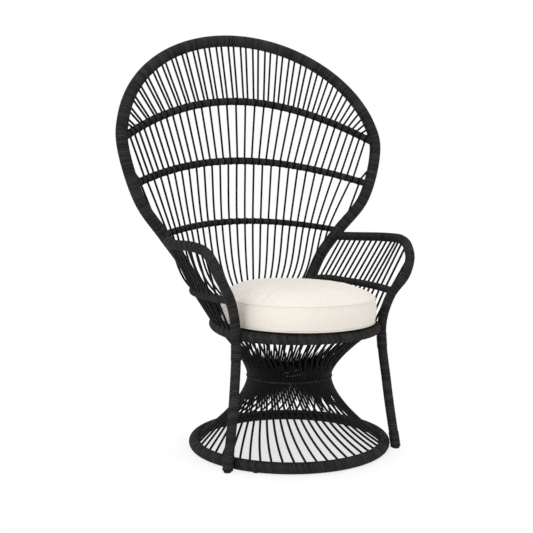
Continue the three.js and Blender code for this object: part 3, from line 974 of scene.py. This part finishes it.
def grow(name, mesh, kind, values):
    """Runs a geometry tree on a mesh and keeps the result as a plain mesh object."""
    tree = tree_named(kind)
    obj = link(bpy.data.objects.new(name, mesh))
    modifier = obj.modifiers.new(tree.name, "NODES")
    modifier.node_group = tree
    for item in tree.interface.items_tree:
        if item.in_out == "INPUT" and item.name in values:
            modifier[item.identifier] = values[item.name]
    graph = bpy.context.evaluated_depsgraph_get()
    made = bpy.data.meshes.new_from_object(
        obj.evaluated_get(graph), preserve_all_data_layers=True, depsgraph=graph
    )
    obj.modifiers.clear()
    obj.data = made
    bpy.data.meshes.remove(mesh)
    made.name = name
    if not made.polygons:
        raise RuntimeError(name + " came out empty")
    return obj


def settle(obj, body, slot, *nodes):
    """Rides a piece on a body and hides the frame nodes that it stands for; the slot is not used."""
    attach(obj, body)
    if nodes:
        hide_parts(*nodes)
    return obj


def settings():
    return bpy.context.scene.peacock_chair


def material_named(name):
    """A finish of the chair, made once."""
    made = bpy.data.materials.get(name)
    if made:
        return made
    chosen = settings()
    middle = AXIS + np.array([0.0, CUSHION_CENTRE, CUSHION_FLOOR])
    makers = {
        "wound_cord": lambda: wound_cord(chosen.cord.colour),
        "satin_paint": lambda: satin_paint(chosen.rods.colour),
        "cushion_linen": lambda: cushion_linen(chosen.cushion.colour, chosen.cushion.yarn, middle),
        "woven_tape": lambda: woven_tape(ZIP_COLOUR),
        "black_rubber": black_rubber,
        "stained_plywood": stained_plywood,
    }
    return makers[name]()


def wound(name, line, radius, nodes, closed=False, pitch_share=1.0, relief_share=1.0):
    """A tube wound with cord that stands for frame nodes."""
    cord = settings().cord
    points = [tuple(p) for p in line]
    ends = points + points[:1] if closed else points
    length = Line(ends).length
    turns = max(1, round(length / (cord.pitch * pitch_share)))
    obj = grow(
        name,
        wire(name, [points], closed),
        "Wound tube",
        {
            "Radius": radius,
            "Cord width": length / turns,
            "Relief": cord.relief * relief_share,
            "Sides": max(LEAST_SIDES, round(cord.sides * min(1.0, radius / FULL_TUBE))),
            "Steps per turn": cord.steps,
            "Material": material_named("wound_cord"),
        },
    )
    return settle(obj, "frame", "wrapped_cord", *nodes)


def rods(name, lines, radius, nodes, taper=0.0):
    """Thin painted rods that stand for frame nodes."""
    values = {
        "Radius": radius,
        "Taper": taper,
        "Sides": settings().rods.sides,
        "Material": material_named("satin_paint"),
    }
    obj = grow(name, wire(name, lines), "Rods", values)
    return settle(obj, "frame", "painted_rod", *nodes)


def lashings(name, ties, rail):
    """Cord ties round a rail; each tie is a point and the way of the rail there."""
    mesh = bpy.data.meshes.new(name)
    mesh.from_pydata([tuple(np.asarray(p) + AXIS) for p, _ in ties], [], [])
    ways = mesh.attributes.new("way", "FLOAT_VECTOR", "POINT")
    ways.data.foreach_set("vector", np.array([w for _, w in ties], np.float32).ravel())
    cord = settings().cord.lashing
    values = {"Rail": rail, "Cord": cord, "Turns": LASHING_TURNS}
    values["Material"] = material_named("wound_cord")
    return settle(grow(name, mesh, "Lashings", values), "frame", "wrapped_cord")


def drawn_back(across):
    """A depth on the cushion, drawn out behind its middle as the seat ring is."""
    return across * (1 + CUSHION_TAIL) if across > 0 else across


def turned(name, profile, centre, steps, material):
    """A closed body turned about an upright axis from a profile of (radius, height) pairs."""
    made = bmesh.new()
    rows = []
    for radius, height in profile:
        if radius < 1e-6:
            rows.append([made.verts.new((centre[0], centre[1], centre[2] + height))])
            continue
        row = []
        for i in range(steps):
            angle = 2 * math.pi * i / steps
            x, y = radius * math.cos(angle), radius * math.sin(angle)
            row.append(made.verts.new((centre[0] + x, centre[1] + y, centre[2] + height)))
        rows.append(row)
    for low, high in zip(rows, rows[1:]):
        for i in range(steps):
            after = i + 1
            corners = [low[i % len(low)], low[after % len(low)]]
            corners += [high[after % len(high)], high[i % len(high)]]
            made.faces.new(list(dict.fromkeys(corners)))
    bmesh.ops.recalc_face_normals(made, faces=made.faces)
    for face in made.faces:
        face.smooth = True
    mesh = bpy.data.meshes.new(name)
    made.to_mesh(mesh)
    made.free()
    mesh.materials.append(material)
    return link(bpy.data.objects.new(name, mesh))


# Operators


class PEACOCK_OT_back_hoop(Operator):
    """Winds the tall hoop of the back"""

    bl_idname = "peacock_chair.back_hoop"
    bl_label = "Back hoop"

    def execute(self, context):
        wound("hoop_wound", HOOP.part(0, 1, HOOP_STEPS), HOOP_TUBE + settings().cord.cover, ["back_hoop"])
        return {"FINISHED"}


class PEACOCK_OT_rings(Operator):
    """Winds the seat ring and the floor ring"""

    bl_idname = "peacock_chair.rings"
    bl_label = "Seat and floor rings"

    def execute(self, context):
        wound("seat_ring_wound", ring_of(seat_point), SEAT_TUBE, ["seat_ring"], closed=True)
        cover = settings().cord.cover
        line = [p + np.array([0.0, 0.0, cover]) for p in ring_of(base_point)]
        wound("floor_ring_wound", line, BASE_TUBE + cover, ["base_ring"], closed=True)
        return {"FINISHED"}


class PEACOCK_OT_back_fan(Operator):
    """Builds the rails and the fanned rods of the back"""

    bl_idname = "peacock_chair.back_fan"
    bl_label = "Fan back"

    def execute(self, context):
        cover = settings().cord.cover
        rails = {"upper": UPPER, "middle": MIDDLE, "lower": LOWER}
        nodes = {"upper": "back_fan_upper", "middle": "back_fan_middle", "lower": "back_rail_lower"}
        for name, rail in rails.items():
            line = rail.part(0, 1, RAIL_STEPS)
            tube = rail.tube + cover
            wound("rail_" + name + "_wound", line, tube, [nodes[name]], pitch_share=RAIL_CORD)
        rods("fan_upper_rods", self.upper_rods(), BACK_ROD, ["back_fan_upper"])
        rods("fan_middle_rods", self.middle_rods(), BACK_ROD, ["back_fan_middle"])
        long_rods = [spindle(i, side) for side in SIDES for i in range(SPINDLES)]
        spindle_nodes = [f"back_spindle_{i + 1:02d}" for i in range(len(long_rods))]
        rods("spindles", long_rods, BACK_ROD, spindle_nodes)
        return {"FINISHED"}

    @staticmethod
    def upper_rods():
        lines = []
        wing = hoop_place(UPPER_RAIL[1])
        for side in SIDES:
            for i in range(UPPER_RODS):
                share = (i + 0.5) / UPPER_RODS
                place_on = UPPER.place(crowded(share, UPPER_CROWDING), side)
                layer = UPPER_LAYER * UPPER.behind(place_on)
                if (i + (side > 0)) % 2:
                    layer = -layer
                head = hoop_point(lerp(0.5, wing, share), side)
                lines.append([UPPER.at(place_on) + layer, head + layer])
        return lines

    @staticmethod
    def middle_rods():
        lines = []
        outer = hoop_place((MIDDLE_RAIL[1] + UPPER_RAIL[1]) / 2)
        for side in SIDES:
            for i in range(MIDDLE_RODS):
                foot = MIDDLE.at_share(crowded((i + 0.5) / MIDDLE_RODS, MIDDLE_CROWDING), side)
                share = crowded((i + 0.5) / (MIDDLE_RODS - 1), MIDDLE_TOP_CROWDING)
                head = UPPER.at_share(share, side) if share < 1 else hoop_point(outer, side)
                lines.append([foot, head])
        return lines


class PEACOCK_OT_arms(Operator):
    """Winds the arms with their legs and bindings, and fans their rods"""

    bl_idname = "peacock_chair.arms"
    bl_label = "Arms"

    def execute(self, context):
        for side in SIDES:
            self.build(side, SIDE_NAMES[side])
        return {"FINISHED"}

    @staticmethod
    def build(side, name):
        def on_side(points):
            return [p if side > 0 else mirrored(p) for p in points]

        cover = settings().cord.cover
        end = leg_share(LEG_END)
        line = on_side(ARM.part(0, end, ARM_STEPS))
        wound("arm_" + name + "_wound", line, ARM_TUBE + cover, ["arm_" + name])
        line = on_side(ARM_RAIL.part(0, 1, ARM_RAIL_STEPS))
        rail = ARM_RAIL_TUBE + cover
        wound("arm_rail_" + name + "_wound", line, rail, ["arm_fan_" + name], pitch_share=RAIL_CORD)
        lines = [on_side([foot, ARM_RAIL.at(share), head]) for foot, share, head in arm_rods()]
        rods("arm_rods_" + name, lines, ARM_ROD, ["arm_fan_" + name])
        for label, height in (("foot_binding_", FOOT_BINDING), ("leg_binding_", SEAT_BINDING)):
            top = leg_share(height + BINDING_LENGTH)
            sleeve = on_side(ARM.part(leg_share(height), top, BINDING_STEPS))
            wide = ARM_TUBE + cover + BINDING_THICKNESS
            wound(label + name + "_wound", sleeve, wide, [label + name], relief_share=BINDING_RELIEF)


class PEACOCK_OT_base_cage(Operator):
    """Builds the twisted hourglass of rods and its waist ring"""

    bl_idname = "peacock_chair.base_cage"
    bl_label = "Hourglass base"

    def execute(self, context):
        pitch = 2 * math.pi / CAGE_RODS
        lines = [cage_rod(CAGE_TURN + i * pitch) for i in range(CAGE_RODS)]
        rods("cage_rods", lines, CAGE_ROD, ["base_cage"])
        short = []
        for i in range(CAGE_RODS):
            lap = WAIST_LAP * (1 + LAP_VARIES * math.sin(LAP_SWING * i))
            short.append(cage_rod(CAGE_TURN + (i + 0.5) * pitch, lap, WAIST_STEPS))
        rods("cage_waist_rods", short, WAIST_ROD, ["base_cage"], taper=LAP_TAPER)
        reach = WAIST_RADIUS + CAGE_ROD

        def waist(angle):
            return np.array([reach * math.cos(angle), reach * math.sin(angle), WAIST_HEIGHT])

        line = ring_of(waist)
        wound("waist_ring_wound", line, WAIST_TUBE, ["base_cage"], closed=True, relief_share=WAIST_RELIEF)
        return {"FINISHED"}


class PEACOCK_OT_lashings(Operator):
    """Ties the rods to the rails with cord"""

    bl_idname = "peacock_chair.lashings"
    bl_label = "Lashings"

    def execute(self, context):
        upper, middle, lower = [], [], []
        for side in SIDES:
            for i in range(MIDDLE_RODS):
                share = crowded((i + 0.5) / (MIDDLE_RODS - 1), MIDDLE_TOP_CROWDING)
                if share < 1:
                    upper.append(self.tie(UPPER, share, side))
                middle.append(self.tie(MIDDLE, crowded((i + 0.5) / MIDDLE_RODS, MIDDLE_CROWDING), side))
            for i in range(SPINDLES_ON_SEAT):
                share = crowded((i + 0.5) / SPINDLES_ON_SEAT, SPINDLE_CROWDING)
                lower.append(self.tie(LOWER, share, side))
        cover = settings().cord.cover
        lashings("lashings_upper", upper, UPPER.tube + cover)
        lashings("lashings_middle", middle, MIDDLE.tube + cover)
        lashings("lashings_lower", lower, LOWER.tube + cover)
        return {"FINISHED"}

    @staticmethod
    def tie(rail, share, side):
        spot = rail.place(share, side)
        return rail.at(spot), rail.along(spot)


class PEACOCK_OT_feet(Operator):
    """Turns the rubber caps of the legs and the glides of the floor ring"""

    bl_idname = "peacock_chair.feet"
    bl_label = "Feet"

    def execute(self, context):
        rubber = material_named("black_rubber")
        feet = {f"foot_cap_{side}": FOOT_CAP for side in ("left", "right")}
        feet.update({f"glide_{i}": GLIDE for i in range(1, 5)})
        for name, profile in feet.items():
            low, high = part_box(name)
            centre = ((low.x + high.x) / 2, (low.y + high.y) / 2, low.z)
            obj = turned(name + "_rubber", profile, centre, FOOT_SIDES, rubber)
            settle(obj, "frame", "rubber", name)
        return {"FINISHED"}


class PEACOCK_OT_seat(Operator):
    """Finishes the seat panel and its bearers"""

    bl_idname = "peacock_chair.seat"
    bl_label = "Seat panel"

    def execute(self, context):
        for name in ("seat_panel", "seat_bearer_front", "seat_bearer_rear"):
            NODES[name].data.materials.clear()
            NODES[name].data.materials.append(material_named("stained_plywood"))
        return {"FINISHED"}


class PEACOCK_OT_cushion(Operator):
    """Fills the cushion, sews its seams and sets the zip"""

    bl_idname = "peacock_chair.cushion"
    bl_label = "Cushion"

    def execute(self, context):
        centre = AXIS + np.array([0.0, CUSHION_CENTRE, CUSHION_FLOOR])
        linen = material_named("cushion_linen")
        cover = self.cover(centre, linen)
        settle(cover, "cushion", "linen", "cushion_cover", "cushion_foam")
        sizes = settings().cushion
        heart = centre - AXIS
        for label, height in (("low", LOW_SEAM), ("top", TOP_SEAM)):
            seam = self.seam_line(heart, CUSHION_RADIUS + WELT_OUT * sizes.welt, height)
            welt = grow(
                "welt_" + label,
                wire("welt_" + label, [seam], closed=True),
                "Rods",
                {"Radius": sizes.welt, "Sides": WELT_SIDES, "Material": linen},
            )
            settle(welt, "cushion", "linen")
        self.zip(heart)
        return {"FINISHED"}

    @staticmethod
    def seam_line(heart, radius, height, start=0.0, end=2 * math.pi, count=180):
        """A level line round the cushion, or an arc of it."""
        points = []
        for angle in np.linspace(start, end, count, endpoint=False):
            depth = drawn_back(radius * math.sin(angle))
            points.append(heart + np.array([radius * math.cos(angle), depth, height]))
        return points

    @staticmethod
    def profile():
        """Half of the cushion's section, a little slack, from the sole's middle to the top's."""
        points = [*SOLE, (CUSHION_RADIUS, LOW_SEAM)]
        for share in SIDE_SHARES:
            out = SLACK * SIDE_BULGE * math.sin(math.pi * share)
            points.append((CUSHION_RADIUS + out, lerp(LOW_SEAM, TOP_SEAM, share)))
        points.append((CUSHION_RADIUS, TOP_SEAM))
        for share in TOP_SHARES:
            rise = SHOULDER * math.sqrt(1 - share**SHOULDER_POWER) + DOME * (1 - share**2)
            points.append((CUSHION_RADIUS * share, TOP_SEAM + rise))
        points.append((0.0, TOP_SEAM + SHOULDER + DOME))
        return points

    def cover(self, centre, linen):
        obj = turned("cushion_linen_cover", self.profile(), centre, CUSHION_SIDES, linen)
        for corner in obj.data.vertices:
            corner.co.y = centre[1] + drawn_back(corner.co.y - centre[1])
        self.fill(obj, centre)
        smoother = obj.modifiers.new("Rounding", "SUBSURF")
        smoother.levels = 1
        smoother.render_levels = 1
        return obj

    @staticmethod
    def fill(obj, centre):
        """Swells the cover by a cloth simulation between its seams, which stay where they are sewn."""
        sizes = settings().cushion
        remesh = obj.modifiers.new("Cloth grain", "REMESH")
        remesh.mode = "VOXEL"
        remesh.voxel_size = sizes.voxel
        remesh.use_smooth_shade = True
        graph = bpy.context.evaluated_depsgraph_get()
        fine = bpy.data.meshes.new_from_object(obj.evaluated_get(graph))
        obj.modifiers.clear()
        obj.data = fine
        start = np.zeros(len(fine.vertices) * 3, np.float32)
        fine.vertices.foreach_get("co", start)
        start = start.reshape(-1, 3)
        apart = start - np.asarray(centre)
        behind = apart[:, 1] > 0
        reach = np.hypot(apart[:, 0], np.where(behind, apart[:, 1] / (1 + CUSHION_TAIL), apart[:, 1]))
        near_low = np.hypot(reach - CUSHION_RADIUS, apart[:, 2] - LOW_SEAM)
        near_top = np.hypot(reach - CUSHION_RADIUS, apart[:, 2] - TOP_SEAM)
        near = np.minimum(near_low, near_top)
        held = (near < HELD_GRAINS * sizes.voxel) | (apart[:, 2] < HELD_SOLE)
        seams = obj.vertex_groups.new(name="sewn")
        seams.add([int(i) for i in np.flatnonzero(held)], 1.0, "REPLACE")
        cloth = obj.modifiers.new("Filling", "CLOTH")
        for name, value in FILLING.items():
            setattr(cloth.settings, name, value)
        cloth.settings.uniform_pressure_force = sizes.pressure
        cloth.settings.vertex_group_mass = seams.name
        cloth.settings.effector_weights.gravity = 0
        scene = bpy.context.scene
        for step in range(1, FILLING_STEPS + 1):
            scene.frame_set(step)
        graph = bpy.context.evaluated_depsgraph_get()
        swollen = obj.evaluated_get(graph).to_mesh()
        moved = np.zeros(len(start) * 3, np.float32)
        swollen.vertices.foreach_get("co", moved)
        shift = moved.reshape(-1, 3) - start
        obj.evaluated_get(graph).to_mesh_clear()
        scene.frame_set(1)
        obj.modifiers.clear()
        obj.vertex_groups.clear()
        far = np.linalg.norm(shift, axis=1, keepdims=True)
        shift *= np.minimum(1.0, sizes.swell / np.maximum(far, 1e-9))
        final = start + shift
        final[:, 2] = np.maximum(final[:, 2], centre[2] + SOLE_GAP)
        fine.vertices.foreach_set("co", final.ravel())
        fine.update()

    def zip(self, heart):
        """A zip in the back of the boxing: tape and teeth."""
        low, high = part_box("cushion_zip")
        half = math.asin(min(1.0, (high.x - low.x) / 2 / CUSHION_RADIUS))
        reach = CUSHION_RADIUS + SIDE_BULGE + ZIP_OUT
        arc = ((LOW_SEAM + TOP_SEAM) / 2, math.pi / 2 - half, math.pi / 2 + half, ZIP_STEPS)
        woven = material_named("woven_tape")
        tape = grow(
            "zip_tape_band",
            wire("zip_tape_band", [self.seam_line(heart, reach, *arc)]),
            "Rods",
            {"Radius": ZIP_TAPE, "Sides": WELT_SIDES, "Material": woven},
        )
        settle(tape, "cushion", "zip_tape", "cushion_zip")
        teeth = grow(
            "zip_teeth",
            wire("zip_teeth", [self.seam_line(heart, reach + TEETH_OUT, *arc)]),
            "Stitches",
            {"Pitch": TEETH_PITCH, "Length": TOOTH_LENGTH, "Thread": TOOTH, "Material": woven},
        )
        settle(teeth, "cushion", "zip_tape")


class PEACOCK_OT_stage(Operator):
    """Sets the floor, the lights and the camera"""

    bl_idname = "peacock_chair.stage"
    bl_label = "Stage"

    def execute(self, context):
        scene = context.scene
        scene.view_settings.view_transform = "Standard"
        self.camera(scene)
        self.floor()
        self.sky(scene)
        chosen = settings().stage
        self.lamp("key", KEY_PLACE, KEY_AIM, KEY_SIZE, chosen.key)
        self.lamp("top", TOP_PLACE, TOP_AIM, TOP_SIZE, TOP_SHARE * chosen.key)
        return {"FINISHED"}

    @staticmethod
    def camera(scene):
        data = bpy.data.cameras.new("photo_camera")
        data.lens = settings().stage.lens
        data.sensor_width = SENSOR
        camera = link(bpy.data.objects.new("photo_camera", data))
        camera.location = AXIS + np.array(CAMERA_PLACE)
        camera.rotation_euler = (CAMERA_TILT, 0, CAMERA_TURN)
        scene.camera = camera

    @staticmethod
    def lamp(name, spot, aim, size, power):
        data = bpy.data.lights.new(name, "AREA")
        data.shape = "DISK"
        data.size = size
        data.energy = power
        lamp = link(bpy.data.objects.new(name, data))
        lamp.location = spot
        lamp.rotation_euler = (Vector(aim) - Vector(spot)).to_track_quat("-Z", "Y").to_euler()

    @staticmethod
    def seen(tree):
        """1 for the rays that show the background: those of the camera, of gloss and of glass."""
        rays = tree.nodes.new("ShaderNodeLightPath").outputs
        shown = calc(tree, "MAXIMUM", rays["Is Camera Ray"], rays["Is Glossy Ray"])
        return calc(tree, "MAXIMUM", shown, rays["Is Transmission Ray"])

    def sky(self, scene):
        world = bpy.data.worlds.new("studio")
        scene.world = world
        world.use_nodes = True
        tree = world.node_tree
        tree.nodes.clear()
        soft = place(tree, "ShaderNodeBackground", {"Color": WHITE, "Strength": settings().stage.fill})
        white = place(tree, "ShaderNodeBackground", {"Color": WHITE, "Strength": 1.0})
        mixed = place(
            tree, "ShaderNodeMixShader", {0: self.seen(tree), 1: soft.outputs[0], 2: white.outputs[0]}
        )
        tree.links.new(mixed.outputs[0], tree.nodes.new("ShaderNodeOutputWorld").inputs[0])

    def floor(self):
        made = bmesh.new()
        bmesh.ops.create_circle(made, cap_ends=True, segments=FLOOR_SIDES, radius=FLOOR_RADIUS)
        mesh = bpy.data.meshes.new("floor")
        made.to_mesh(mesh)
        made.free()
        floor = link(bpy.data.objects.new("floor", mesh))
        material = bpy.data.materials.new("floor_white")
        material.use_nodes = True
        tree = material.node_tree
        tree.nodes.clear()
        matt = place(tree, "ShaderNodeBsdfDiffuse", {"Color": FLOOR_COLOUR})
        white = place(tree, "ShaderNodeEmission", {"Color": WHITE, "Strength": 1.0})
        spot = vector_calc(tree, "SUBTRACT", object_place(tree), tuple(AXIS))
        away = place(tree, "ShaderNodeVectorMath", {0: spot}, operation="LENGTH").outputs["Value"]
        fade = output(
            tree,
            "ShaderNodeMapRange",
            {"Value": away, "From Min": SHADE_INSIDE, "From Max": SHADE_OUTSIDE, "To Min": SHADE_WHITE},
            interpolation_type="SMOOTHSTEP",
        )
        share = calc(tree, "MULTIPLY", fade, self.seen(tree))
        mixed = place(tree, "ShaderNodeMixShader", {0: share, 1: matt.outputs[0], 2: white.outputs[0]})
        tree.links.new(mixed.outputs[0], tree.nodes.new("ShaderNodeOutputMaterial").inputs[0])
        mesh.materials.append(material)


class PEACOCK_PT_chair(Panel):
    """The chair's operators and sizes"""

    bl_idname = "PEACOCK_PT_chair"
    bl_label = "Peacock chair"
    bl_space_type = "VIEW_3D"
    bl_region_type = "UI"
    bl_category = "Chair"

    def draw(self, context):
        chosen = settings()
        for operator in OPERATORS:
            self.layout.operator(operator.bl_idname)
        for sizes in (chosen.cord, chosen.rods, chosen.cushion, chosen.stage):
            box = self.layout.box()
            for name in sizes.__annotations__:
                box.prop(sizes, name)


OPERATORS = (
    PEACOCK_OT_stage,
    PEACOCK_OT_back_hoop,
    PEACOCK_OT_rings,
    PEACOCK_OT_back_fan,
    PEACOCK_OT_arms,
    PEACOCK_OT_base_cage,
    PEACOCK_OT_lashings,
    PEACOCK_OT_feet,
    PEACOCK_OT_seat,
    PEACOCK_OT_cushion,
)
CLASSES = (CordSizes, RodSizes, CushionSizes, StageSizes, ChairSettings, *OPERATORS, PEACOCK_PT_chair)


def register():
    for each in CLASSES:
        bpy.utils.register_class(each)
    bpy.types.Scene.peacock_chair = PointerProperty(type=ChairSettings)


def unregister():
    del bpy.types.Scene.peacock_chair
    for each in reversed(CLASSES):
        bpy.utils.unregister_class(each)


def main():
    register()
    for operator in OPERATORS:
        group, name = operator.bl_idname.split(".")
        getattr(getattr(bpy.ops, group), name)()


if __name__ == "__main__":
    main()
